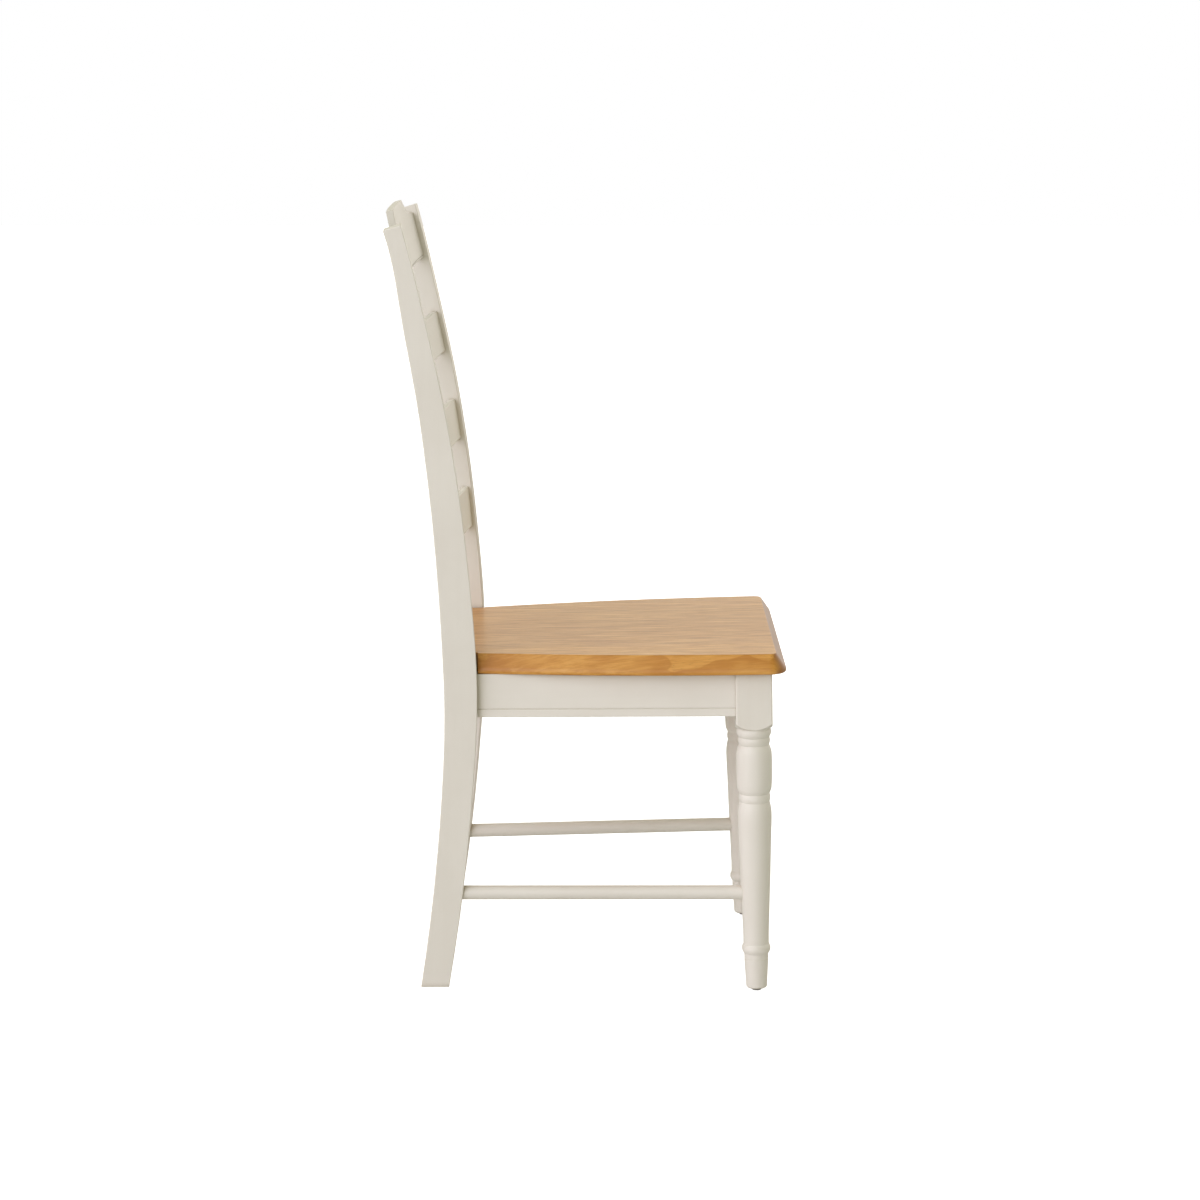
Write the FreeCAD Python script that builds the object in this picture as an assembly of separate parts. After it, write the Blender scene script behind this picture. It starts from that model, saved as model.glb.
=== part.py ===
import FreeCAD, Part
import math
import os

V = FreeCAD.Vector

# ---------------------------------------------------------------------------
# Ladderback dining chair, painted frame with a lacquered oak seat.
# Working frame while the pieces are shaped: X to the sitter's left, front of
# the chair towards -Y, Z up, Y = 0 near the front legs, seat plane level.
# At the end every piece is leaned back by RAKE about X, so that the seat falls
# towards the back, and shifted so that the origin is the centre of the chair's
# box on the floor.  Millimetres throughout.
# ---------------------------------------------------------------------------

RAKE = 1.13                 # degrees the whole frame leans back from level
FLOOR_REAR = 0.0            # finished floor level

# rear posts: one-piece sabre curve, sawn from board, leaning outwards
POST_W = 30.0               # thickness across the chair
POST_FOOT_X = 177.84        # outer face from the centre plane, at Z = 0
POST_SPLAY = 0.0400         # outward lean, mm per mm of height
POST_R = 1.3                # softened long arrises
POST_CANT = 1.6             # the front face falls back by this from its outer to its inner arris
POST_TOP_REAR = (474.3, 1039.4)
POST_TOP_FRONT = (450.3, 1046.2)
POST_FRONT = [(419.0, 0.0), (396.4, 130.0), (375.9, 300.0), (368.6, 400.0), (368.5, 470.0),
              (373.4, 560.0), (380.8, 650.0), (391.2, 740.0), (405.2, 830.0), (422.7, 920.0), (440.8, 1007.0)]
POST_REAR = [(457.4, 0.0), (436.7, 130.0), (418.3, 300.0), (413.0, 400.0), (413.6, 470.0),
             (416.4, 560.0), (421.5, 650.0), (429.0, 740.0), (439.5, 830.0), (453.2, 920.0), (468.6, 1019.0)]

# front legs: turned below a square block
LEG_X = 188.6               # leg axis from the centre plane
LEG_Y = -0.9                # leg axis
LEG_SQ = 49.0               # square block
LEG_BLOCK_R = 2.2           # rounded arrises of the block
LEG_BOTTOM = 3.6            # wood stops above the glide
GLIDE_R = 7.6
GLIDE_PIN_R = 1.3
GLIDE_PIN = 14.0

# seat
SEAT_TOP = 469.4
SEAT_T = 26.0
SEAT_BOT = SEAT_TOP - SEAT_T
SEAT_FRONT = -44.4          # widest line of the front edge
SEAT_REAR = 367.0           # shoulder in front of the posts
SEAT_TONGUE = 407.5         # back edge between the posts
SEAT_TONGUE_X = 164.4
SEAT_SIDE = [(227.8, -21.4), (224.2, 70.0), (215.3, 176.0), (199.0, 283.0), (183.0, 367.0)]   # widest line
SEAT_CORNER_R = 23.0        # meets the side curve at its first point
SEAT_FLARE = 13.0           # the edge slopes out by this below the top arris
SEAT_FLARE_H = 19.0         # over this height
SEAT_JOINTS = [-137.0, -45.0, 46.0, 136.0]     # glue lines between the staves

# seat rails
RAIL_TOP = SEAT_BOT
RAIL_BOT = 384.0
RAIL_T = 20.0
GROOVE_Z = 395.6            # scratched line near the lower edge
GROOVE_R = 0.8
SIDE_RAIL_FRONT_X = 210.2   # outer face at Y = 0
SIDE_RAIL_REAR_X = 183.1    # outer face at Y = 368
FRONT_RAIL_Y = LEG_Y - LEG_SQ / 2 + 2.5
REAR_RAIL_Y = 385.0         # front face of the back rail

# side stretchers
STR_R = 9.65
STR_TENON_R = 7.5
STR_FRONT = (188.6, -0.9, 136.1)
STR_REAR = (169.2, 410.0, 138.9)

# slats: name, lower edge, upper edge, setback of the front face from the post's
# front, radius of the bow in plan
SLAT_T = 10.0
SLAT_R = 2.0
CREST_R = 1.0               # crisper arrises along the crest rail's top
CREST_LOW_R = 2.6           # and rounder ones below
CREST_LINE = 3.9            # height of the scratched line above the crest rail's lower arris
CREST_LINE_X = 187.0        # the line stops at the posts
MORTISE = 14.0
SLATS = [("lower_slat", 585.7, 643.6, 6.6, 1100.0),
         ("middle_slat", 711.9, 768.8, 7.3, 1250.0),
         ("upper_slat", 835.9, 893.2, 7.5, 1300.0),
         ("crest_rail", 969.8, 1033.4, 8.3, 2270.0)]
CREST_RISE = 24.6           # raised middle of the crest rail
CREST_FLAT = 104.0          # half length of the raised flat
CREST_COVE = 176.0          # the hollow shoulder ends here

DOWEL_R = 4.0
DOWEL_L = 40.0

os.makedirs("parts", exist_ok=True)


# ---------------------------------------------------------------------------
# small helpers
# ---------------------------------------------------------------------------
def solid(shape, name="piece"):
    s = shape.removeSplitter() if shape.ShapeType in ("Compound", "Solid") else shape
    sol = s.Solids
    if len(sol) != 1:
        sol = sorted(sol, key=lambda q: -q.Volume)
        if not sol or (len(sol) > 1 and sol[1].Volume > 0.5):
            raise ValueError("%s: %d solids" % (name, len(sol)))
    return sol[0]


def poly_prism(pts, z0, z1):
    w = Part.makePolygon([V(x, y, z0) for x, y in pts] + [V(pts[0][0], pts[0][1], z0)])
    return Part.Face(w).extrude(V(0, 0, z1 - z0))


def mirrored(shape):
    return shape.mirror(V(0, 0, 0), V(1, 0, 0))


def spline(points):
    c = Part.BSplineCurve()
    c.interpolate([V(*p) for p in points])
    return c.toShape()


def post_outer(z):
    return POST_FOOT_X + POST_SPLAY * z


def post_inner(z):
    return post_outer(z) - POST_W * math.sqrt(1.0 + POST_SPLAY ** 2)


def curve_y(table, z):
    c = Part.BSplineCurve()
    c.interpolate([V(0, y, zz) for y, zz in table])
    w = Part.makeLine(V(0, -2000, z), V(0, 2000, z))
    d = c.toShape().distToShape(w)
    return d[1][0][0].y


# ---------------------------------------------------------------------------
# rear posts
# ---------------------------------------------------------------------------
def rear_post_blank():
    """Right-hand post without its joints, on the -X side."""
    k = math.sqrt(1.0 + POST_SPLAY ** 2)          # board length per height
    rings = []
    for x, fall in ((0.0, 0.0), (POST_W, POST_CANT)):
        fr = [(x, y + fall, z * k) for y, z in POST_FRONT + [POST_TOP_FRONT]]
        rr = [(x, y, z * k) for y, z in POST_REAR + [POST_TOP_REAR]]
        e1 = spline(fr)
        e2 = Part.makeLine(V(*fr[-1]), V(*rr[-1]))
        e3 = spline(rr)
        e4 = Part.makeLine(V(*rr[0]), V(*fr[0]))
        rings.append(Part.Wire(Part.__sortEdges__([e1, e2, e3, e4])))
    b = Part.makeLoft(rings, True, True)
    long_edges = [e for e in b.Edges if e.Length > 600]
    b = b.makeFillet(POST_R, long_edges)
    top = [f for f in b.Faces if f.CenterOfMass.z > 1040 and f.Area > 300
           and abs(f.normalAt(0.5, 0.5).z) > 0.9]
    if top:
        try:
            b = b.makeFillet(1.3, top[0].Edges)
        except Exception:
            pass
    b.rotate(V(0, 0, 0), V(0, 1, 0), -math.degrees(math.atan(POST_SPLAY)))
    b.translate(V(-POST_FOOT_X, 0, 0))
    return solid(b, "post")


# ---------------------------------------------------------------------------
# front legs
# ---------------------------------------------------------------------------
def leg_profile():
    """Half section (radius, height) of the turned leg as edges, lowest first."""
    def p(r, z):
        return V(r, 0, z)

    def ln(a, b):
        return Part.makeLine(p(*a), p(*b))

    def arc(a, m, b):
        return Part.Arc(p(*a), p(*m), p(*b)).toShape()

    def spl(pts):
        return spline([(r, 0, z) for r, z in pts])

    e = []
    e.append(ln((0, LEG_BOTTOM), (12.0, LEG_BOTTOM)))
    e.append(arc((12.0, LEG_BOTTOM), (13.5, 4.4), (14.15, 6.4)))
    e.append(spl([(14.15, 6.4), (14.55, 12.1), (15.35, 26.2), (16.1, 40.3), (16.25, 44.0)]))
    e.append(arc((16.25, 44.0), (15.8, 44.8), (16.3, 45.6)))
    e.append(ln((16.3, 45.6), (16.5, 51.6)))
    e.append(arc((16.5, 51.6), (16.6, 52.4), (17.3, 52.7)))
    e.append(arc((17.3, 52.7), (19.45, 58.9), (17.35, 65.4)))
    e.append(spl([(17.35, 65.4), (17.5, 80.0), (18.05, 96.5), (19.05, 124.5), (20.1, 152.5), (21.0, 180.3),
                  (21.85, 208.2), (22.6, 229.0), (22.95, 241.0), (22.75, 250.0), (21.9, 256.5),
                  (20.35, 263.2)]))
    e.append(arc((20.35, 263.2), (21.45, 268.9), (20.35, 274.6)))
    e.append(spl([(20.35, 274.6), (21.9, 277.6), (23.0, 280.8), (23.6, 285.5), (23.95, 293.0), (24.15, 306.0),
                  (24.2, 318.0), (24.1, 326.0), (23.6, 332.0), (22.4, 337.0), (20.3, 341.8)]))
    e.append(arc((20.3, 341.8), (21.75, 347.4), (20.85, 352.4)))
    e.append(arc((20.85, 352.4), (23.45, 358.6), (22.7, 363.6)))
    e.append(ln((22.7, 363.6), (22.75, 364.9)))
    e.append(arc((22.75, 364.9), (29.6, 369.6), (36.5, 378.0)))
    e.append(ln((36.5, 378.0), (36.5, SEAT_BOT)))
    e.append(ln((36.5, SEAT_BOT), (0, SEAT_BOT)))
    e.append(ln((0, SEAT_BOT), (0, LEG_BOTTOM)))
    return e


def front_leg_blank():
    turned = Part.Face(Part.Wire(leg_profile())).revolve(V(0, 0, 0), V(0, 0, 1), 360)
    h = LEG_SQ / 2
    box = Part.makeBox(LEG_SQ, LEG_SQ, SEAT_BOT + 10, V(-h, -h, -5))
    box = box.makeFillet(LEG_BLOCK_R, [e for e in box.Edges if e.Length > SEAT_BOT - 20])
    leg = turned.common(box)
    leg.translate(V(-LEG_X, LEG_Y, 0))
    return solid(leg, "leg")


def glide(x):
    """Nail-on glide: shallow domed disc with a pin up into the foot.

    It starts below the floor and is trimmed flat there with the rear feet."""
    lo = -1.0
    edges = [Part.makeLine(V(0, 0, lo), V(4.2, 0, lo)),
             Part.Arc(V(4.2, 0, lo), V(6.7, 0, 0.75), V(GLIDE_R, 0, 2.6)).toShape(),
             Part.makeLine(V(GLIDE_R, 0, 2.6), V(GLIDE_R, 0, LEG_BOTTOM)),
             Part.makeLine(V(GLIDE_R, 0, LEG_BOTTOM), V(GLIDE_PIN_R, 0, LEG_BOTTOM)),
             Part.makeLine(V(GLIDE_PIN_R, 0, LEG_BOTTOM), V(GLIDE_PIN_R, 0, LEG_BOTTOM + GLIDE_PIN - 2.0)),
             Part.makeLine(V(GLIDE_PIN_R, 0, LEG_BOTTOM + GLIDE_PIN - 2.0), V(0, 0, LEG_BOTTOM + GLIDE_PIN)),
             Part.makeLine(V(0, 0, LEG_BOTTOM + GLIDE_PIN), V(0, 0, lo))]
    g = Part.Face(Part.Wire(edges)).revolve(V(0, 0, 0), V(0, 0, 1), 360)
    g.translate(V(x, LEG_Y, 0))
    return solid(g, "glide")


# ---------------------------------------------------------------------------
# slats and crest rail
# ---------------------------------------------------------------------------
def slat_blank(z0, z1, setback, bow_r, crest=False):
    """Bowed board set between the posts, with its ends trimmed inside the mortises."""
    y0 = curve_y(POST_FRONT + [(POST_TOP_FRONT[0], POST_TOP_FRONT[1])], z0)
    y1 = curve_y(POST_FRONT + [(POST_TOP_FRONT[0], POST_TOP_FRONT[1])], z1)
    lean = math.atan2(y1 - y0, z1 - z0)
    h = (z1 - z0) / math.cos(lean)
    full_h = h + (CREST_RISE / math.cos(lean) if crest else 0.0)
    half = post_inner(z1) + MORTISE + 6.0
    ri, ro = bow_r, bow_r + SLAT_T
    xin = post_inner(0.5 * (z0 + z1))
    sag = bow_r - math.sqrt(bow_r ** 2 - xin ** 2)

    def at(r, x):
        return V(x, math.sqrt(r * r - x * x) - bow_r, 0)

    fa = Part.Arc(at(ri, -half), at(ri, 0), at(ri, half)).toShape()
    ra = Part.Arc(at(ro, -half), at(ro, 0), at(ro, half)).toShape()
    l1 = Part.makeLine(at(ri, -half), at(ro, -half))
    l2 = Part.makeLine(at(ri, half), at(ro, half))
    face = Part.Face(Part.Wire(Part.__sortEdges__([fa, l2, ra, l1])))
    b = face.extrude(V(0, 0, full_h))
    if crest:
        rise = full_h - h
        dx = CREST_COVE - CREST_FLAT
        a = 2 * math.atan2(rise, dx)
        rad = dx / math.sin(a)
        # hollow shoulder, tangent to the low end, meeting the flat at a crisp corner
        cx, cz = CREST_COVE, h + rad
        am = a * 0.5

        def pt(ang, s):
            return V(s * (cx - rad * math.sin(ang)), -80, cz - rad * math.cos(ang))

        w = [Part.makeLine(V(-half - 5, -80, -5), V(half + 5, -80, -5)),
             Part.makeLine(V(half + 5, -80, -5), V(half + 5, -80, h)),
             Part.makeLine(V(half + 5, -80, h), V(CREST_COVE, -80, h)),
             Part.Arc(pt(0, 1), pt(am, 1), pt(a, 1)).toShape(),
             Part.makeLine(pt(a, 1), pt(a, -1)),
             Part.Arc(pt(a, -1), pt(am, -1), pt(0, -1)).toShape(),
             Part.makeLine(V(-CREST_COVE, -80, h), V(-half - 5, -80, h)),
             Part.makeLine(V(-half - 5, -80, h), V(-half - 5, -80, -5))]
        prism = Part.Face(Part.Wire(w)).extrude(V(0, 160, 0))
        b = solid(b.common(prism), "crest")
        low = [e for e in b.Edges if e.Length > 300 and abs(e.CenterOfMass.z) < 0.01]
        b = b.makeFillet(CREST_LOW_R, low)
        ups = [e for e in b.Edges if e.CenterOfMass.z > h - 1.0 and e.BoundBox.XLength > 15
               and abs(e.CenterOfMass.x) < half - 2]
        try:
            b = b.makeFillet(CREST_R, ups)
        except Exception:
            ups = [e for e in ups if e.BoundBox.XLength > 150]
            b = b.makeFillet(CREST_R, ups)
        # scratched line along the front face, just above the lower arris
        xg = CREST_LINE_X
        f1 = Part.Arc(at(ri - 1.0, -xg), at(ri - 1.0, 0), at(ri - 1.0, xg)).toShape()
        f2 = Part.Arc(at(ri + 0.8, -xg), at(ri + 0.8, 0), at(ri + 0.8, xg)).toShape()
        g = Part.Face(Part.Wire(Part.__sortEdges__([f1, Part.makeLine(at(ri - 1.0, xg), at(ri + 0.8, xg)),
                                                    f2, Part.makeLine(at(ri - 1.0, -xg), at(ri + 0.8, -xg))])))
        g = g.extrude(V(0, 0, 1.2))
        g.translate(V(0, 0, CREST_LINE - 0.6))
        b = b.cut(g)
    else:
        b = b.makeFillet(SLAT_R, [e for e in b.Edges if e.Length > 300])
    b.rotate(V(0, 0, 0), V(1, 0, 0), -math.degrees(lean))
    # the front face meets the post's inner face this far behind the post's front
    b.translate(V(0, y0 + setback + sag, z0))
    # trim both ends square with the posts, inside the mortises
    zt = 1200.0
    a0, a1 = post_inner(0) + MORTISE, post_inner(zt) + MORTISE
    w = Part.makePolygon([V(-a0, 300, 0), V(a0, 300, 0), V(a1, 300, zt), V(-a1, 300, zt), V(-a0, 300, 0)])
    keep = Part.Face(w).extrude(V(0, 300, 0))
    return solid(b.common(keep), "slat")


# ---------------------------------------------------------------------------
# seat
# ---------------------------------------------------------------------------
def seat_blank():
    z = SEAT_BOT
    pts = [V(x, y, z) for x, y in SEAT_SIDE]
    bs_ = Part.BSplineCurve()
    bs_.interpolate(Points=pts, InitialTangent=V(0, 1, 0), FinalTangent=(pts[-1] - pts[-2]).normalize())
    # front corner, rounded in plan
    (xc, cy), (xb, yb) = SEAT_SIDE[0], SEAT_SIDE[-1]
    r = SEAT_CORNER_R
    cx = xc - r
    c = math.cos(math.radians(45))
    corner = Part.Arc(V(cx, SEAT_FRONT, z), V(cx + r * c, cy - r * c, z), V(xc, cy, z))

    def m(edge):
        return edge.mirror(V(0, 0, 0), V(1, 0, 0))

    right = [corner.toShape(), bs_.toShape(),
             Part.makeLine(V(xb, yb, z), V(SEAT_TONGUE_X, yb, z)),
             Part.makeLine(V(SEAT_TONGUE_X, yb, z), V(SEAT_TONGUE_X, SEAT_TONGUE, z))]
    edges = right + [m(e) for e in right]
    edges.append(Part.makeLine(V(-cx, SEAT_FRONT, z), V(cx, SEAT_FRONT, z)))
    edges.append(Part.makeLine(V(-SEAT_TONGUE_X, SEAT_TONGUE, z), V(SEAT_TONGUE_X, SEAT_TONGUE, z)))
    b = Part.Face(Part.Wire(Part.__sortEdges__(edges))).extrude(V(0, 0, SEAT_T))

    def rim(shape, zz, tol=0.05):
        out = []
        for e in shape.Edges:
            bb = e.BoundBox
            if abs(bb.ZMin - zz) < tol and abs(bb.ZMax - zz) < tol and bb.YMin < SEAT_REAR - 1 \
                    and bb.YMax < SEAT_REAR + 0.5:
                out.append(e)
        return out

    # the sloping edge: a wide bevel below the top arris, then rounded top and bottom
    top = rim(b, SEAT_TOP)
    b = b.makeChamfer(SEAT_FLARE_H, SEAT_FLARE, top)
    b = b.makeFillet(3.6, rim(b, SEAT_BOT))
    b = b.makeFillet(8.0, rim(b, SEAT_TOP - SEAT_FLARE_H, 0.2))
    b = b.makeFillet(1.8, rim(b, SEAT_TOP))
    return solid(b, "seat")


def seat_boards(blank):
    names = ["seat_board_right_outer", "seat_board_right_inner", "seat_board_centre",
             "seat_board_left_inner", "seat_board_left_outer"]
    cuts = [-400.0] + SEAT_JOINTS + [400.0]
    out = []
    for i, n in enumerate(names):
        slab = Part.makeBox(cuts[i + 1] - cuts[i], 700, 100, V(cuts[i], -150, SEAT_BOT - 40))
        out.append((n, solid(blank.common(slab), n)))
    return out


# ---------------------------------------------------------------------------
# rails
# ---------------------------------------------------------------------------
def side_rail_x(y):
    return SIDE_RAIL_FRONT_X + (SIDE_RAIL_REAR_X - SIDE_RAIL_FRONT_X) * y / 368.0


def side_rail_blank(leg, post):
    """Right-hand rail between the leg block and the post, on the -X side."""
    y0, y1 = -30.0, 400.0
    x0, x1 = side_rail_x(y0), side_rail_x(y1)
    d = V(x1 - x0, y1 - y0, 0)
    n = V(d.y, -d.x, 0)
    n.normalize()                                   # outward normal on the +X side
    pts = [(x0, y0), (x1, y1), (x1 - n.x * RAIL_T, y1 - n.y * RAIL_T), (x0 - n.x * RAIL_T, y0 - n.y * RAIL_T)]
    b = poly_prism([(-x, y) for x, y in pts], RAIL_BOT, RAIL_TOP)
    low = [e for e in b.Edges if abs(e.CenterOfMass.z - RAIL_BOT) < 0.01 and e.Length > 300]
    b = b.makeFillet(1.6, low)
    g = Part.makeCylinder(GROOVE_R, 520, V(-x0, y0, GROOVE_Z), V(-(x1 - x0), y1 - y0, 0))
    b = b.cut(g)
    # square ends against the block and the post
    y_leg = LEG_Y + LEG_SQ / 2
    keep = Part.makeBox(400, 369.2 - y_leg, 400, V(-300, y_leg, 200))
    b = b.common(keep)
    b = b.cut(post)
    sol = sorted(b.Solids, key=lambda q: q.BoundBox.YMin)
    return sol[0]


def cross_rail(y_front, x_half_low, x_half_high, groove):
    """Straight rail across the chair with ends at the given half lengths (low, high)."""
    w = Part.makePolygon([V(-x_half_low, y_front, RAIL_BOT), V(x_half_low, y_front, RAIL_BOT),
                          V(x_half_high, y_front, RAIL_TOP), V(-x_half_high, y_front, RAIL_TOP),
                          V(-x_half_low, y_front, RAIL_BOT)])
    b = Part.Face(w).extrude(V(0, RAIL_T, 0))
    low = [e for e in b.Edges if abs(e.CenterOfMass.z - RAIL_BOT) < 0.01 and e.Length > 200]
    b = b.makeFillet(1.6, low)
    if groove:
        b = b.cut(Part.makeCylinder(GROOVE_R, 600, V(-300, y_front, GROOVE_Z), V(1, 0, 0)))
    return solid(b, "cross rail")


# ---------------------------------------------------------------------------
# fasteners
# ---------------------------------------------------------------------------
def dowel(p, d):
    """Fluteless beech dowel, chamfered ends, centred on p along d."""
    d = V(d)
    d.normalize()
    a = p - d * (DOWEL_L / 2)
    c = Part.makeCylinder(DOWEL_R, DOWEL_L, a, d)
    ends = [e for e in c.Edges if e.Curve.TypeId == "Part::GeomCircle"]
    return solid(c.makeChamfer(0.9, ends), "dowel")


def dowel_hole(p, d):
    d = V(d)
    d.normalize()
    return Part.makeCylinder(DOWEL_R, DOWEL_L + 1.0, p - d * (DOWEL_L / 2 + 0.5), d)


def screw(p, d, length, r=2.2, head=4.2):
    """Countersunk wood screw: head centre at p, shank along d."""
    d = V(d)
    d.normalize()
    cone = Part.makeCone(head, r, head - r, p, d)
    sh = Part.makeCylinder(r, length - 6.0 - (head - r), p + d * (head - r), d)
    tip = Part.makeCone(r, 0.3, 6.0, p + d * (length - 6.0), d)
    s = cone.fuse([sh, tip])
    slot = Part.makeBox(1.1, 5.2, 1.2, V(-0.55, -2.6, -0.01))
    slot2 = Part.makeBox(5.2, 1.1, 1.2, V(-2.6, -0.55, -0.01))
    rot = FreeCAD.Rotation(V(0, 0, 1), d)
    for q in (slot, slot2):
        q.Placement = FreeCAD.Placement(p, rot).multiply(q.Placement)
    return solid(s.cut([slot, slot2]), "screw")


def screw_hole(p, d, length, r=2.2, head=4.2, pocket=40.0):
    """Clearance for the screw body, with a straight pocket behind the head."""
    d = V(d)
    d.normalize()
    cone = Part.makeCone(head, r, head - r, p, d)
    sh = Part.makeCylinder(r, length - 6.0 - (head - r), p + d * (head - r), d)
    tip = Part.makeCone(r, 0.3, 6.0, p + d * (length - 6.0), d)
    pk = Part.makeCylinder(head + 0.3, pocket, p - d * pocket, d)
    return [cone, sh, tip, pk]


# ---------------------------------------------------------------------------
# build in the working frame
# ---------------------------------------------------------------------------
pieces = {}

post = rear_post_blank()
leg = front_leg_blank()
slats = {}
for nm, z0, z1, sb, br in SLATS:
    slats[nm] = slat_blank(z0, z1, sb, br, crest=(nm == "crest_rail"))

side_rail = side_rail_blank(leg, post)
block_in = LEG_X - LEG_SQ / 2
front_rail = cross_rail(FRONT_RAIL_Y, block_in, block_in, True)
rear_rail = cross_rail(REAR_RAIL_Y, post_inner(RAIL_BOT), post_inner(RAIL_TOP), False)
seat = seat_blank()

# dowels of the -X side (mirrored for the other side)
rail_dir = V(-(side_rail_x(368) - side_rail_x(0)), 368.0, 0)
mid_x = -(side_rail_x(24) - RAIL_T / 2)
mid_xr = -(side_rail_x(368) - RAIL_T / 2)
zs_d = (RAIL_BOT + 15.0, RAIL_TOP - 15.0)
front_d, rear_d = [], []
for z in zs_d:
    front_d.append((V(mid_x, LEG_Y + LEG_SQ / 2, z), V(0, 1, 0)))
    front_d.append((V(-block_in, FRONT_RAIL_Y + RAIL_T / 2, z), V(1, 0, 0)))
    rear_d.append((V(mid_xr, 368.4, z), V(0, 1, 0)))
    rear_d.append((V(-post_inner(z), REAR_RAIL_Y + RAIL_T / 2, z), V(1, 0, 0)))

# corner blocks of the -X side, set 3 mm below the top of the rails
BLK_TOP, BLK_BOT = RAIL_TOP, RAIL_TOP - 34.0
n_y0, n_y1 = 25.4, 96.0


def inner_face_x(y):
    dx = SIDE_RAIL_REAR_X - SIDE_RAIL_FRONT_X
    k = math.sqrt(1.0 + (dx / 368.0) ** 2)
    return side_rail_x(y) - RAIL_T * k


fr_in = FRONT_RAIL_Y + RAIL_T
blk_front = poly_prism([(-86.0, fr_in), (-(block_in - 1.0), fr_in), (-(block_in - 1.0), n_y0),
                        (-inner_face_x(n_y0), n_y0), (-inner_face_x(n_y1), n_y1), (-(inner_face_x(n_y1) - 8.0), n_y1),
                        (-86.0, fr_in + 10.0)], BLK_BOT, BLK_TOP)
blk_rear = poly_prism([(-90.0, REAR_RAIL_Y), (-161.6, REAR_RAIL_Y), (-161.6, 366.8), (-inner_face_x(366.8), 366.8),
                       (-inner_face_x(300.0), 300.0), (-(inner_face_x(300.0) - 8.0), 300.0),
                       (-90.0, REAR_RAIL_Y - 10.0)], BLK_BOT, BLK_TOP)

# screws: two from each block into its rails, one up into the seat
zb = 0.5 * (BLK_TOP + BLK_BOT)
nrm = V(-368.0, -(SIDE_RAIL_FRONT_X - SIDE_RAIL_REAR_X), 0)
nrm.normalize()
bs = []
bs.append((V(-118.0, fr_in + 12.0, zb + 6), V(0, -1, 0), 24.0, "f"))
bs.append((V(-(inner_face_x(78.0) - 12.0), 78.0, zb - 6), nrm, 24.0, "f"))
bs.append((V(-118.0, REAR_RAIL_Y - 12.0, zb + 6), V(0, 1, 0), 24.0, "r"))
bs.append((V(-(inner_face_x(320.0) - 12.0), 320.0, zb - 6), nrm, 24.0, "r"))
ss = [(V(-140.0, 36.0, BLK_BOT + 2.0), V(0, 0, 1), 48.0, "f"),
      (V(-140.0, 358.0, BLK_BOT + 2.0), V(0, 0, 1), 48.0, "r")]

# stretcher of the -X side
sf, sr = V(-STR_FRONT[0], STR_FRONT[1], STR_FRONT[2]), V(-STR_REAR[0], STR_REAR[1], STR_REAR[2])
sd = sr - sf
slen = sd.Length
sd.normalize()
# leg surface is about 19.5 mm from its axis, the post face about 397 in Y
s_a, s_b = 15.0, (397.6 + 3.5 - sf.y) / sd.y
stretcher = Part.makeCylinder(STR_R, s_b - s_a, sf + sd * s_a, sd)
t1 = Part.makeCylinder(STR_TENON_R, s_a - 2.0 + 1.0, sf + sd * 2.0, sd)
t2 = Part.makeCylinder(STR_TENON_R, 20.0, sf + sd * (s_b - 1.0), sd)
stretcher = solid(stretcher.fuse([t1, t2]), "stretcher")

# cut the joints
for s in slats.values():
    post = post.cut(s)
post = post.cut(stretcher)
leg = leg.cut(stretcher)
for p, d in front_d:
    h = dowel_hole(p, d)
    leg = leg.cut(h)
    if abs(d.x) > 0.5:
        front_rail = front_rail.cut([h, mirrored(h)])
    else:
        side_rail = side_rail.cut(h)
for p, d in rear_d:
    h = dowel_hole(p, d)
    post = post.cut(h)
    if abs(d.x) > 0.5:
        rear_rail = rear_rail.cut([h, mirrored(h)])
    else:
        side_rail = side_rail.cut(h)
screws_block, screws_seat = [], []
for p, d, ln_, where in bs:
    h = screw_hole(p, d, ln_)
    if where == "f":
        blk_front = blk_front.cut(h)
    else:
        blk_rear = blk_rear.cut(h)
    if abs(d.x) > 0.5:
        side_rail = side_rail.cut(h[:3])
    elif where == "f":
        front_rail = front_rail.cut(h[:3] + [mirrored(q) for q in h[:3]])
    else:
        rear_rail = rear_rail.cut(h[:3] + [mirrored(q) for q in h[:3]])
    screws_block.append(screw(p, d, ln_))
for p, d, ln_, where in ss:
    h = screw_hole(p, d, ln_, pocket=12.0)
    if where == "f":
        blk_front = blk_front.cut(h)
    else:
        blk_rear = blk_rear.cut(h)
    seat = seat.cut(h[:3] + [mirrored(q) for q in h[:3]])
    screws_seat.append(screw(p, d, ln_))
glide_r = glide(-LEG_X)
leg = leg.cut(glide_r)

post, leg, side_rail = solid(post, "post"), solid(leg, "leg"), solid(side_rail, "side rail")
front_rail, rear_rail = solid(front_rail, "front rail"), solid(rear_rail, "rear rail")
blk_front, blk_rear = solid(blk_front, "front block"), solid(blk_rear, "rear block")
seat = solid(seat, "seat")

pieces["rear_post_right"], pieces["rear_post_left"] = post, mirrored(post)
pieces["front_leg_right"], pieces["front_leg_left"] = leg, mirrored(leg)
pieces["side_seat_rail_right"], pieces["side_seat_rail_left"] = side_rail, mirrored(side_rail)
pieces["front_seat_rail"] = front_rail
pieces["back_seat_rail"] = rear_rail
pieces["side_stretcher_right"], pieces["side_stretcher_left"] = stretcher, mirrored(stretcher)
pieces.update(slats)
for n, b in seat_boards(seat):
    pieces[n] = b
pieces["corner_block_front_right"], pieces["corner_block_front_left"] = blk_front, mirrored(blk_front)
pieces["corner_block_back_right"], pieces["corner_block_back_left"] = blk_rear, mirrored(blk_rear)
pieces["corner_block_screws"] = screws_block + [mirrored(s) for s in screws_block]
pieces["seat_screws"] = screws_seat + [mirrored(s) for s in screws_seat]
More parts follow.
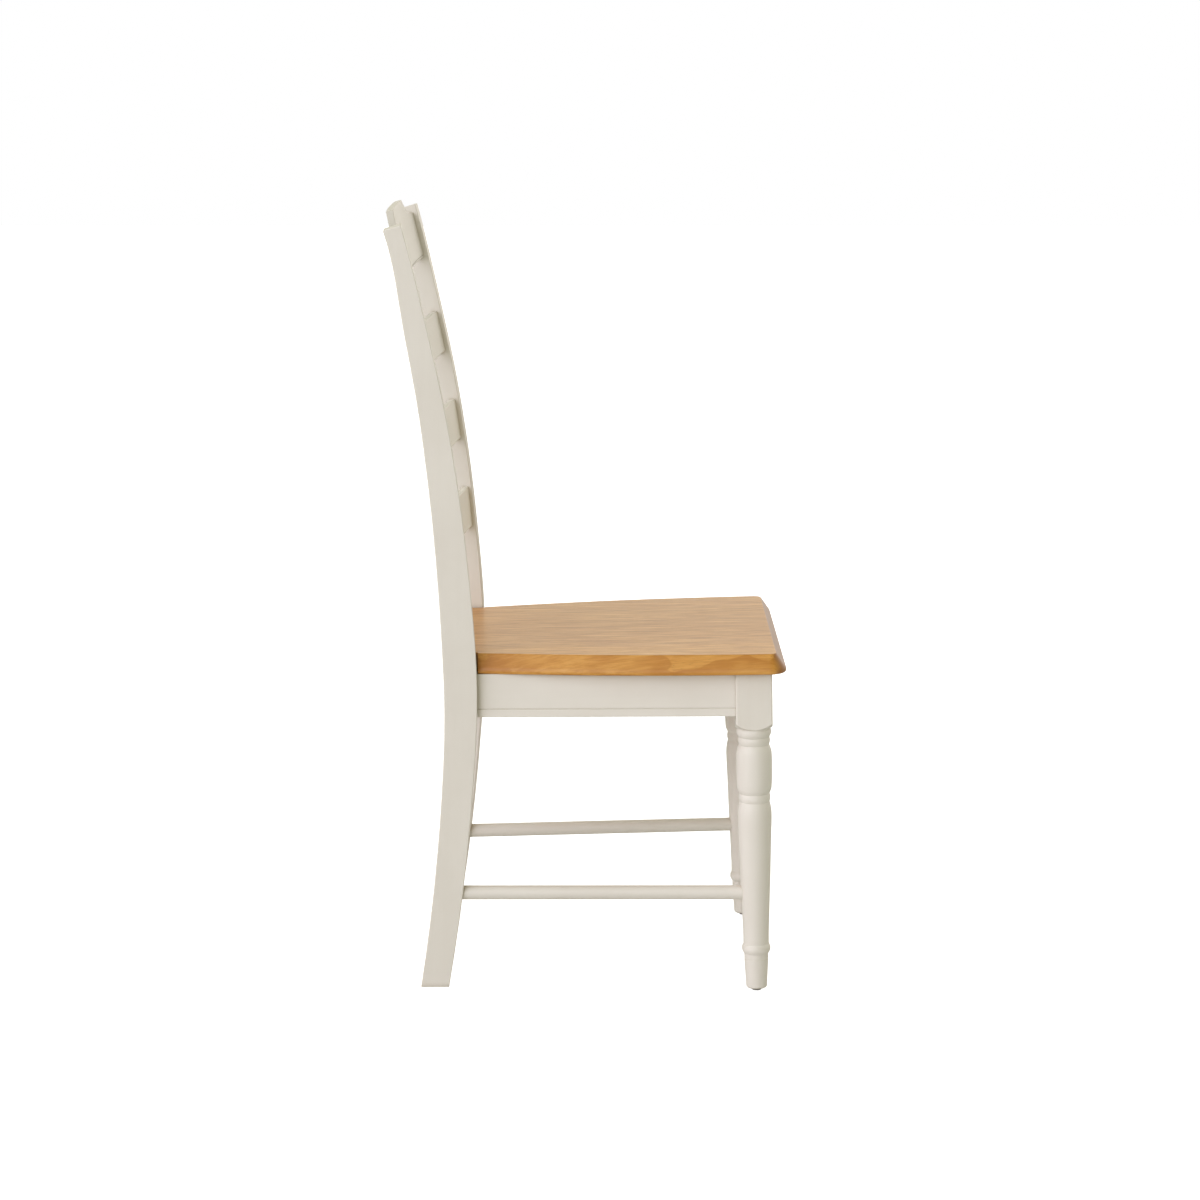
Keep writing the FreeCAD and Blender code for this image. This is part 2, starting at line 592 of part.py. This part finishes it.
fd = [dowel(p, d) for p, d in front_d]
rd = [dowel(p, d) for p, d in rear_d]
pieces["front_joint_dowels"] = fd + [mirrored(s) for s in fd]
pieces["back_joint_dowels"] = rd + [mirrored(s) for s in rd]
pieces["front_foot_glides"] = [glide_r, mirrored(glide_r)]

# ---------------------------------------------------------------------------
# lean the frame back, trim the feet on the floor, centre the box, write
# ---------------------------------------------------------------------------
def box_of(shape):
    return shape.optimalBoundingBox(False, False)


floor_cut = Part.makeBox(1400, 1400, 60, V(-700, -500, FLOOR_REAR - 60))
final = {}
for n, s in pieces.items():
    final[n] = []
    for q in (s if isinstance(s, list) else [s]):
        q = q.copy()
        q.rotate(V(0, 0, 0), V(1, 0, 0), -RAKE)
        if n.startswith("rear_post") or n == "front_foot_glides":
            q = solid(q.cut(floor_cut), n)
        final[n].append(q)

y_front = min(box_of(q).YMin for n in final if n.startswith("seat_board") for q in final[n])
y_back = max(box_of(q).YMax for n in ("crest_rail", "rear_post_right") for q in final[n])
yc = 0.5 * (y_front + y_back)
print("front edge %.3f back %.3f centre %.3f depth %.2f" % (y_front, y_back, yc, y_back - y_front))
for n, res in final.items():
    for q in res:
        q.translate(V(0, -yc, 0))
        if not q.isValid():
            print("INVALID", n)
    shape = res[0] if len(res) == 1 else Part.makeCompound(res)
    shape.exportStep("parts/%s.step" % n)
    bb = box_of(shape)
    print("%-28s %2d vol %10.1f  x %7.1f %7.1f  y %7.1f %7.1f  z %7.1f %7.1f" % (
        n, len(res), sum(q.Volume for q in res), bb.XMin, bb.XMax, bb.YMin, bb.YMax, bb.ZMin, bb.ZMax))
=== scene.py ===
import math
import bpy
from mathutils import Matrix, Vector

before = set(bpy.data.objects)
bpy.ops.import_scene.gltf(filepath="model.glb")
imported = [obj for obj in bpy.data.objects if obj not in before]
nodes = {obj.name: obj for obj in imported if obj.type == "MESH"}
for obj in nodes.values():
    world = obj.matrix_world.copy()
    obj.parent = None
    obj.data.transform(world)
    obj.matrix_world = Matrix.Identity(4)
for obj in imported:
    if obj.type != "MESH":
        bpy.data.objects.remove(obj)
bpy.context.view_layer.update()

scene = bpy.context.scene

# ---------------------------------------------------------------------------
# camera: long lens, level, from the chair's right side and a little above
# ---------------------------------------------------------------------------
cam_data = bpy.data.cameras.new("camera")
cam_data.sensor_fit = "HORIZONTAL"
cam_data.sensor_width = 36.0
cam_data.lens = 101.953
cam_data.clip_start, cam_data.clip_end = 0.1, 60.0
cam_data.dof.use_dof = False
cam = bpy.data.objects.new("camera", cam_data)
scene.collection.objects.link(cam)
right = Vector((-0.004563, -0.999989, 0.00055)).normalized()
forward = Vector((0.983444, -0.004587, -0.181153)).normalized()
up = right.cross(forward)
rot = Matrix((right, up, -forward)).transposed().to_4x4()
cam.matrix_world = Matrix.Translation((-4.636910, 0.001477, 1.357447)) @ rot
scene.camera = cam
scene.view_settings.view_transform = "Standard"
scene.view_settings.look = "None"


# ---------------------------------------------------------------------------
# node helpers
# ---------------------------------------------------------------------------
class Tree:
    """Short forms for building a node tree; sockets or plain numbers go in."""

    def __init__(self, tree):
        self.t = tree
        self.x = 0

    def new(self, kind, **props):
        n = self.t.nodes.new(kind)
        n.location = (self.x, 0)
        self.x += 40
        for k, v in props.items():
            setattr(n, k, v)
        return n

    def put(self, socket, value):
        if isinstance(value, bpy.types.NodeSocket):
            self.t.links.new(value, socket)
        elif value is not None:
            socket.default_value = value

    def math(self, op, a, b=None, c=None, clamp=False):
        n = self.new("ShaderNodeMath", operation=op, use_clamp=clamp)
        for s, v in zip(n.inputs, (a, b, c)):
            self.put(s, v)
        return n.outputs[0]

    def vmath(self, op, a, b=None, scale=None):
        n = self.new("ShaderNodeVectorMath", operation=op)
        self.put(n.inputs[0], a)
        if b is not None:
            self.put(n.inputs[1], b)
        if scale is not None:
            self.put(n.inputs["Scale"], scale)
        return n.outputs["Value"] if op in ("DOT_PRODUCT", "LENGTH", "DISTANCE") else n.outputs[0]

    def xyz(self, v):
        n = self.new("ShaderNodeSeparateXYZ")
        self.put(n.inputs[0], v)
        return n.outputs

    def vec(self, x, y, z):
        n = self.new("ShaderNodeCombineXYZ")
        for s, v in zip(n.inputs, (x, y, z)):
            self.put(s, v)
        return n.outputs[0]

    def noise(self, v, scale, detail=3.0, rough=0.5, w=None, distortion=0.0, color=False):
        n = self.new("ShaderNodeTexNoise")
        if w is not None:
            n.noise_dimensions = "4D"
            self.put(n.inputs["W"], w)
        self.put(n.inputs["Vector"], v)
        self.put(n.inputs["Scale"], scale)
        self.put(n.inputs["Detail"], detail)
        self.put(n.inputs["Roughness"], rough)
        self.put(n.inputs["Distortion"], distortion)
        return n.outputs["Color"] if color else n.outputs["Fac"]

    def voronoi(self, v, scale, feature="F1", rand=1.0):
        n = self.new("ShaderNodeTexVoronoi", feature=feature)
        self.put(n.inputs["Vector"], v)
        self.put(n.inputs["Scale"], scale)
        self.put(n.inputs["Randomness"], rand)
        return n.outputs

    def remap(self, v, a, b, c=0.0, d=1.0, smooth=False):
        n = self.new("ShaderNodeMapRange", clamp=True, interpolation_type="SMOOTHSTEP" if smooth else "LINEAR")
        for s, x in zip(n.inputs, (v, a, b, c, d)):
            self.put(s, x)
        return n.outputs[0]

    def mix(self, fac, a, b, blend="MIX"):
        n = self.new("ShaderNodeMix", data_type="RGBA", blend_type=blend)
        self.put(n.inputs[0], fac)
        self.put(n.inputs[6], a)
        self.put(n.inputs[7], b)
        return n.outputs[2]

    def ramp(self, v, stops, interp="LINEAR"):
        n = self.new("ShaderNodeValToRGB")
        cr = n.color_ramp
        cr.interpolation = interp
        while len(cr.elements) < len(stops):
            cr.elements.new(0.5)
        for e, (p, c) in zip(cr.elements, stops):
            e.position = p
            e.color = c
        self.put(n.inputs[0], v)
        return n.outputs[0]

    def bump(self, height, strength, distance, normal=None):
        n = self.new("ShaderNodeBump")
        self.put(n.inputs["Strength"], strength)
        self.put(n.inputs["Distance"], distance)
        self.put(n.inputs["Height"], height)
        if normal is not None:
            self.put(n.inputs["Normal"], normal)
        return n.outputs[0]


def rgb(r, g, b):
    return (r, g, b, 1.0)


def material(name):
    m = bpy.data.materials.new(name)
    m.use_nodes = True
    m.node_tree.nodes.clear()
    t = Tree(m.node_tree)
    out = t.new("ShaderNodeOutputMaterial")
    bsdf = t.new("ShaderNodeBsdfPrincipled")
    m.node_tree.links.new(bsdf.outputs[0], out.inputs[0])
    coord = t.new("ShaderNodeTexCoord").outputs["Object"]
    return m, t, bsdf, coord


# ---------------------------------------------------------------------------
# satin paint, sprayed and faintly showing the grain beneath it
# ---------------------------------------------------------------------------
def paint(name, along, seed, tone=1.0):
    """along: the axis the wood runs in, 0, 1 or 2; tone: a multiplier on the coat's colour, painted shade below 1 and
    painted light above 1.
    """
    m, t, b, p = material(name)
    sc = [700.0, 700.0, 700.0]
    sc[along] = 9.0
    grain_v = t.vmath("MULTIPLY", p, tuple(sc))
    grain_v = t.vmath("ADD", grain_v, (seed * 3.1, seed * 1.7, seed * 5.3))
    grain = t.noise(grain_v, 1.0, 4.0, 0.55)
    sc2 = [90.0, 90.0, 90.0]
    sc2[along] = 4.0
    drag = t.noise(t.vmath("MULTIPLY", p, tuple(sc2)), 1.0, 3.0, 0.5)
    peel = t.noise(p, 620.0, 2.0, 0.45)
    cloud = t.noise(t.vmath("ADD", p, (seed * 0.7, 0.0, seed * 0.3)), 9.0, 3.0, 0.55)
    cloud = t.remap(cloud, 0.30, 0.70, 0.0, 1.0, smooth=True)
    fine = t.noise(p, 2600.0, 1.0, 0.5)

    base = t.mix(cloud, rgb(0.770, 0.712, 0.642), rgb(0.800, 0.744, 0.676))
    base = t.mix(t.remap(drag, 0.35, 0.68, 0.0, 0.30), base, rgb(0.742, 0.684, 0.610))
    base = t.mix(t.remap(grain, 0.60, 0.80, 0.0, 0.16), base, rgb(0.690, 0.630, 0.536))
    # painted shade: the coat is darkened where ambient occlusion finds corners and joints, standing in for the shade
    # that falls there
    ao = t.new("ShaderNodeAmbientOcclusion", samples=6)
    ao.inputs["Distance"].default_value = 0.011
    painted_corner_shade = t.remap(ao.outputs["AO"], 0.30, 0.80, 1.0, 0.0)
    base = t.mix(t.math("MULTIPLY", painted_corner_shade, 0.75), base, rgb(0.400, 0.335, 0.225))
    # painted shade and painted light: tone darkens the whole coat below 1 and lightens it above 1, evening out how
    # light falls on each piece
    if tone != 1.0:
        base = t.mix(1.0, base, rgb(tone, tone, tone), "MULTIPLY")
    t.put(b.inputs["Base Color"], base)

    r = t.math("ADD", 0.40, t.math("MULTIPLY", t.math("SUBTRACT", cloud, 0.5), 0.05))
    r = t.math("ADD", r, t.math("MULTIPLY", t.math("SUBTRACT", fine, 0.5), 0.10))
    t.put(b.inputs["Roughness"], r)
    b.inputs["IOR"].default_value = 1.48
    n1 = t.bump(peel, 0.22, 0.00020)
    n2 = t.bump(grain, 0.30, 0.00012, n1)
    n3 = t.bump(drag, 0.25, 0.00025, n2)
    t.put(b.inputs["Normal"], n3)
    return m


paint_z = paint("satin_paint_upright", 2, 1.0)
paint_x = paint("satin_paint_across", 0, 2.0)
paint_y = paint("satin_paint_lengthwise", 1, 3.0)
# the same paint with painted shade on the crest and upper slat and painted light on the middle and lower slats
crest_paint_painted_shade = paint("satin_paint_crest_painted_shade", 0, 4.0, 0.89)
upper_slat_paint_painted_shade = paint("satin_paint_upper_slat_painted_shade", 0, 5.0, 0.945)
middle_slat_paint_painted_light = paint("satin_paint_middle_slat_painted_light", 0, 6.0, 1.055)
lower_slat_paint_painted_light = paint("satin_paint_lower_slat_painted_light", 0, 7.0, 1.10)


# ---------------------------------------------------------------------------
# lacquered oak, one tree per stave, grain running front to back
# ---------------------------------------------------------------------------
def oak(name, centre, curve, slope, tone, seed):
    """Growth rings round a far axis at centre (x, z), almost parallel to Y.

    curve bends the rings sideways with the board's length, slope runs them off to one side.
    """
    m, t, b, p = material(name)
    x, y, z = t.xyz(p)
    wob = t.noise(t.vmath("ADD", t.vmath("MULTIPLY", p, (6.0, 11.0, 10.0)), (seed, seed * 2.3, 0.0)), 1.0, 2.0, 0.45)
    wob2 = t.noise(t.vmath("ADD", t.vmath("MULTIPLY", p, (26.0, 20.0, 34.0)), (0.0, seed * 1.9, seed)), 1.0, 2.0, 0.5)
    front = t.math("ADD", y, 0.250)
    bend = t.math("MULTIPLY", t.math("MULTIPLY", front, front), curve)
    dx = t.math("SUBTRACT", t.math("SUBTRACT", x, centre[0]), t.math("ADD", bend, t.math("MULTIPLY", y, slope)))
    dz = t.math("SUBTRACT", t.math("SUBTRACT", z, centre[1]), t.math("MULTIPLY", y, 0.020))
    r = t.math("SQRT", t.math("ADD", t.math("MULTIPLY", dx, dx), t.math("MULTIPLY", dz, dz)))
    r = t.math("ADD", r, t.math("MULTIPLY", t.math("SUBTRACT", wob, 0.5), 0.016))
    r = t.math("ADD", r, t.math("MULTIPLY", t.math("SUBTRACT", wob2, 0.5), 0.0034))
    width = t.noise(t.vec(t.math("MULTIPLY", r, 60.0), seed, 0.0), 1.0, 2.0, 0.6)
    ring = t.math("FRACT", t.math("ADD", t.math("MULTIPLY", r, 170.0), t.math("MULTIPLY", width, 2.2)))
    late = t.remap(ring, 0.25, 0.88, 0.0, 1.0, smooth=True)      # slow turn to latewood
    late = t.math("MULTIPLY", late, t.remap(ring, 0.93, 1.0, 1.0, 0.0, smooth=True))
    early = t.remap(ring, 0.0, 0.34, 1.0, 0.0, smooth=True)

    # vessels: thin dark dashes, thickest in the early wood; fibre and streaks at three widths
    pore = t.noise(t.vmath("ADD", t.vmath("MULTIPLY", p, (1300.0, 38.0, 1300.0)), (seed * 7.0, 0.0, seed * 3.0)), 1.0, 2.0, 0.55)
    pore_f = t.remap(pore, 0.58, 0.70, 0.0, 1.0, smooth=True)
    pore_f = t.math("MULTIPLY", pore_f, t.math("ADD", 0.25, t.math("MULTIPLY", early, 0.75)))
    fibre = t.noise(t.vmath("ADD", t.vmath("MULTIPLY", p, (430.0, 8.0, 430.0)), (seed, 0.0, 0.0)), 1.0, 4.0, 0.6)
    streak = t.noise(t.vmath("ADD", t.vmath("MULTIPLY", p, (230.0, 8.5, 62.0)), (seed * 5.0, seed, 0.0)), 1.0, 4.0, 0.68)
    dash = t.noise(t.vmath("ADD", t.vmath("MULTIPLY", p, (400.0, 19.0, 130.0)), (seed * 9.0, seed * 2.0, 0.0)), 1.0, 3.0, 0.65)
    band = t.noise(t.vmath("ADD", t.vmath("MULTIPLY", p, (30.0, 2.2, 30.0)), (seed * 4.0, seed, 0.0)), 1.0, 2.0, 0.5)
    ray = t.voronoi(t.vmath("MULTIPLY", p, (260.0, 70.0, 900.0)), 1.0)["Distance"]
    ray_f = t.remap(ray, 0.10, 0.22, 1.0, 0.0, smooth=True)

    # which way the surface faces: end grain drinks lacquer and goes darker and redder, and the same darkening also
    # paints the shade on the seat's dim front corner
    face = t.xyz(t.new("ShaderNodeTexCoord").outputs["Normal"])
    endgrain_and_painted_shade = t.remap(t.math("ABSOLUTE", face[1]), 0.16, 0.62, 0.0, 1.0, smooth=True)
    edge_grain_and_painted_shade = t.remap(face[2], 0.96, 0.75, 0.0, 1.0, smooth=True)      # the bevel and the edge

    k = tone
    pale = rgb(0.690 * k[0], 0.385 * k[1], 0.132 * k[2])
    light = rgb(0.625 * k[0], 0.312 * k[1], 0.086 * k[2])
    mid = rgb(0.550 * k[0], 0.245 * k[1], 0.052 * k[2])
    dark = rgb(0.400 * k[0], 0.150 * k[1], 0.018 * k[2])
    col = t.mix(t.math("MULTIPLY", late, t.math("ADD", 0.34, t.math("MULTIPLY", edge_grain_and_painted_shade, 0.56))), light, dark)
    col = t.mix(t.remap(band, 0.35, 0.65, 0.0, 0.45, smooth=True), col, mid)
    flat = t.math("SUBTRACT", 1.0, t.math("MULTIPLY", edge_grain_and_painted_shade, 0.70))   # the streaks show on the top, the rings on the edge
    col = t.mix(t.math("MULTIPLY", flat, t.remap(streak, 0.50, 0.61, 0.0, 0.90)), col, dark)
    col = t.mix(t.math("MULTIPLY", flat, t.remap(streak, 0.48, 0.36, 0.0, 0.90)), col, pale)
    col = t.mix(t.math("MULTIPLY", flat, t.remap(dash, 0.52, 0.62, 0.0, 0.95)), col, dark)
    col = t.mix(t.math("MULTIPLY", flat, t.remap(dash, 0.45, 0.30, 0.0, 0.65)), col, pale)
    col = t.mix(t.remap(fibre, 0.46, 0.70, 0.0, 0.50), col, dark)
    col = t.mix(t.math("MULTIPLY", ray_f, 0.12), col, rgb(0.740, 0.430, 0.170))
    col = t.mix(t.math("MULTIPLY", pore_f, 0.62), col, rgb(0.255, 0.105, 0.024))
    # painted shade: the bevel and the edge are painted deeper and more saturated than the top, which is left paler
    col = t.mix(t.math("MULTIPLY", edge_grain_and_painted_shade, 0.50), col, t.mix(1.0, col, rgb(0.94, 0.86, 0.50), "MULTIPLY"))
    # end grain darker and redder, partly real and partly painted shade on the front corner
    col = t.mix(t.math("MULTIPLY", endgrain_and_painted_shade, 0.72), col, rgb(0.270, 0.105, 0.026))
    # painted shade: the wood is darkened where ambient occlusion finds the corner under the overhang and against the
    # posts
    ao = t.new("ShaderNodeAmbientOcclusion", samples=6)
    ao.inputs["Distance"].default_value = 0.010
    painted_corner_shade = t.remap(ao.outputs["AO"], 0.20, 0.80, 1.0, 0.0)
    col = t.mix(t.math("MULTIPLY", painted_corner_shade, 0.55), col, rgb(0.200, 0.075, 0.018))
    t.put(b.inputs["Base Color"], col)

    rough = t.math("ADD", 0.33, t.math("MULTIPLY", pore_f, 0.16))
    rough = t.math("ADD", rough, t.math("MULTIPLY", t.math("SUBTRACT", fibre, 0.5), 0.12))
    t.put(b.inputs["Roughness"], rough)
    b.inputs["IOR"].default_value = 1.50
    h = t.math("SUBTRACT", t.math("MULTIPLY", fibre, 0.35), pore_f)
    n1 = t.bump(h, 0.40, 0.00008)
    n2 = t.bump(late, 0.25, 0.00008, n1)
    t.put(b.inputs["Normal"], n2)
    return m


# the outer staves are cut with their rings lying along the bevelled edge
staves = [
    ("seat_board_right_outer", oak("oak_stave_1", (-0.125, 0.388), 0.260, 0.030, (1.15, 1.17, 1.08), 1.3)),
    ("seat_board_right_inner", oak("oak_stave_2", (-0.260, 0.405), 0.0, -0.012, (1.05, 1.03, 0.95), 4.7)),
    ("seat_board_centre", oak("oak_stave_3", (0.150, 0.392), 0.0, 0.010, (1.03, 1.00, 0.88), 8.2)),
    ("seat_board_left_inner", oak("oak_stave_4", (-0.030, 0.560), 0.0, -0.014, (1.08, 1.08, 1.02), 12.9)),
    ("seat_board_left_outer", oak("oak_stave_5", (0.125, 0.388), -0.260, -0.030, (1.12, 1.12, 1.14), 17.4)),
]


# ---------------------------------------------------------------------------
# hidden woods, metal and glides
# ---------------------------------------------------------------------------
def beech(name, along, seed):
    m, t, b, p = material(name)
    sc = [260.0, 260.0, 260.0]
    sc[along] = 10.0
    v = t.vmath("ADD", t.vmath("MULTIPLY", p, tuple(sc)), (seed, seed, seed))
    streak = t.noise(v, 1.0, 4.0, 0.6)
    sc = [900.0, 900.0, 900.0]
    sc[along] = 260.0
    fleck = t.voronoi(t.vmath("MULTIPLY", p, tuple(sc)), 1.0)["Distance"]
    col = t.mix(t.remap(streak, 0.32, 0.68), rgb(0.640, 0.440, 0.270), rgb(0.500, 0.320, 0.180))
    col = t.mix(t.remap(fleck, 0.10, 0.26, 0.40, 0.0), col, rgb(0.360, 0.200, 0.100))
    t.put(b.inputs["Base Color"], col)
    t.put(b.inputs["Roughness"], t.remap(streak, 0.3, 0.7, 0.62, 0.78))
    t.put(b.inputs["Normal"], t.bump(t.math("SUBTRACT", streak, fleck), 0.4, 0.00015))
    return m


def zinc():
    m, t, b, p = material("zinc_plate")
    spangle = t.noise(p, 900.0, 3.0, 0.6)
    scuff = t.noise(t.vmath("MULTIPLY", p, (300.0, 2400.0, 2400.0)), 1.0, 3.0, 0.6)
    col = t.mix(t.remap(spangle, 0.35, 0.65), rgb(0.58, 0.58, 0.56), rgb(0.70, 0.70, 0.67))
    t.put(b.inputs["Base Color"], col)
    b.inputs["Metallic"].default_value = 1.0
    t.put(b.inputs["Roughness"], t.remap(scuff, 0.3, 0.7, 0.28, 0.46))
    t.put(b.inputs["Normal"], t.bump(scuff, 0.3, 0.00005))
    return m


def nylon():
    m, t, b, p = material("glide_nylon")
    speck = t.noise(p, 1800.0, 3.0, 0.6)
    scuff = t.noise(t.vmath("MULTIPLY", p, (500.0, 120.0, 500.0)), 1.0, 3.0, 0.55)
    col = t.mix(t.remap(speck, 0.35, 0.65), rgb(0.26, 0.24, 0.215), rgb(0.34, 0.315, 0.285))
    col = t.mix(t.remap(scuff, 0.58, 0.75, 0.0, 0.5), col, rgb(0.48, 0.45, 0.41))
    t.put(b.inputs["Base Color"], col)
    t.put(b.inputs["Roughness"], t.remap(scuff, 0.3, 0.7, 0.40, 0.60))
    t.put(b.inputs["Normal"], t.bump(speck, 0.3, 0.00006))
    return m


beech_x = beech("beech_blocks", 0, 2.0)
beech_y = beech("beech_dowels", 1, 5.0)
zinc_m = zinc()
nylon_m = nylon()

finish = {
    "rear_post_right": paint_z, "rear_post_left": paint_z, "front_leg_right": paint_z, "front_leg_left": paint_z,
    "side_seat_rail_right": paint_y, "side_seat_rail_left": paint_y,
    "side_stretcher_right": paint_y, "side_stretcher_left": paint_y,
    "front_seat_rail": paint_x, "back_seat_rail": paint_x,
    "lower_slat": lower_slat_paint_painted_light, "middle_slat": middle_slat_paint_painted_light, "upper_slat": upper_slat_paint_painted_shade, "crest_rail": crest_paint_painted_shade,
    "corner_block_front_right": beech_x, "corner_block_front_left": beech_x,
    "corner_block_back_right": beech_x, "corner_block_back_left": beech_x,
    "front_joint_dowels": beech_y, "back_joint_dowels": beech_y,
    "corner_block_screws": zinc_m, "seat_screws": zinc_m,
    "front_foot_glides": nylon_m,
}
finish.update(dict(staves))
for name, mat in finish.items():
    ob = nodes[name]
    if not ob.material_slots:
        ob.data.materials.append(mat)
    for slot in ob.material_slots:
        slot.material = mat

# ---------------------------------------------------------------------------
# pale floor and soft studio light
# ---------------------------------------------------------------------------
fm = bpy.data.meshes.new("floor")
s = 14.0
fm.from_pydata([(-s, -s, 0), (s, -s, 0), (s, s, 0), (-s, s, 0)], [], [(0, 1, 2, 3)])
floor = bpy.data.objects.new("floor", fm)
floor.location = (0.0, 0.0, -0.0002)
scene.collection.objects.link(floor)
AMBIENT = (0.25, 0.275, 0.135)
FLOOR_GLOW = (0.0, 0.0, 0.0)
LOBES = [   # direction it comes from, sharpness, colour times strength
    ((-0.707, 0.707, 0.22), 3.0, (2.52, 2.48, 2.87)),      # key: near side, from behind the back
    ((0.707, -0.707, 0.04), 3.0, (1.46, 1.34, 1.47)),      # fill: far side, in front
    ((0.0, 0.0, 1.0), 3.0, (0.10, 0.10, 0.09)),            # overhead
    ((1.0, -0.05, 0.12), 8.0, (0.52, 0.48, 0.41)),         # bright wall behind
]
# end of the lights
m = bpy.data.materials.new("floor_white")
m.use_nodes = True
m.node_tree.nodes.clear()
t = Tree(m.node_tree)
out = t.new("ShaderNodeOutputMaterial")
lit = t.new("ShaderNodeBsdfDiffuse")
lit.inputs["Color"].default_value = rgb(0.72, 0.72, 0.72)
glow = t.new("ShaderNodeEmission")
seen = t.new("ShaderNodeLightPath").outputs["Is Camera Ray"]
t.put(glow.inputs["Color"], t.mix(seen, rgb(*FLOOR_GLOW), rgb(1.0, 1.0, 1.0)))
both = t.new("ShaderNodeAddShader")
t.put(both.inputs[0], lit.outputs[0])
t.put(both.inputs[1], glow.outputs[0])
# the floor is seen from above only, so that the underside of the chair can be looked at
side = t.new("ShaderNodeMixShader")
t.put(side.inputs[0], t.new("ShaderNodeNewGeometry").outputs["Backfacing"])
t.put(side.inputs[1], both.outputs[0])
t.put(side.inputs[2], t.new("ShaderNodeBsdfTransparent").outputs[0])
t.put(out.inputs[0], side.outputs[0])
fm.materials.append(m)

world = bpy.data.worlds.new("studio")
scene.world = world
world.use_nodes = True
world.node_tree.nodes.clear()
t = Tree(world.node_tree)
out = t.new("ShaderNodeOutputWorld")
bg = t.new("ShaderNodeBackground")
t.put(out.inputs[0], bg.outputs[0])
d = t.vmath("NORMALIZE", t.new("ShaderNodeTexCoord").outputs["Generated"])
light = t.vec(*AMBIENT)
for direction, power, tint in LOBES:
    v = Vector(direction).normalized()
    c = t.math("MAXIMUM", t.vmath("DOT_PRODUCT", d, tuple(v)), 0.0)
    c = t.math("POWER", c, power)
    light = t.vmath("ADD", light, t.vmath("SCALE", t.vec(*tint), scale=c))
seen = t.new("ShaderNodeLightPath").outputs["Is Camera Ray"]
t.put(bg.inputs["Color"], t.mix(seen, light, rgb(1.0, 1.0, 1.0)))
